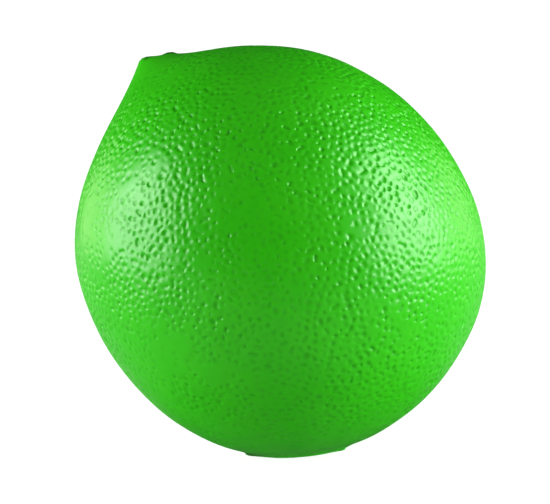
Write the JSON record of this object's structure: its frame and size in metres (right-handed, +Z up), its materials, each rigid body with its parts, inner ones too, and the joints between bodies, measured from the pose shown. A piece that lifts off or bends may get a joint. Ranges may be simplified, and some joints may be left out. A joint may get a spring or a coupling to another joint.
{
  "type": "stress ball",
  "caption": "Squeezable foam stress ball in the shape of a lime, with a pored satin skin, a pointed stem end and a small flat foot.",
  "frame": {"origin": "middle of the flat foot's face, which the ball stands on", "axes": "+Z up, away from the foot; the stem axis leans from +Z towards -X, so the stem point is at the upper left seen along +Y"},
  "size_m": [0.0652, 0.063, 0.0656],
  "materials": {
    "paint": "thin flexible satin paint, bright lime green, with citrus-peel pores",
    "skin": "dense moulded polyurethane skin, tinted green",
    "foam": "soft cellular polyurethane foam, pale green",
    "foot": "dense foam trimmed flat and painted satin green",
    "stem": "dense foam stub, trimmed blunt, darker green"
  },
  "bodies": {
    "base": {"foot_pad": "foot", "core_lower": "foam", "skin_lower": "skin", "coat_lower": "paint"},
    "crown": {"core_upper": "foam", "skin_upper": "skin", "coat_upper": "paint", "stem_tip": "stem"}
  },
  "joints": [
    {"name": "squeeze", "type": "slide", "parent": "base", "child": "crown", "axis": [0, 0, -1], "range_m": [0, 0.028], "stiffness_N_per_m": 1600, "deforming": ["core_lower", "skin_lower", "coat_lower", "core_upper", "skin_upper", "coat_upper"]}
  ]
}
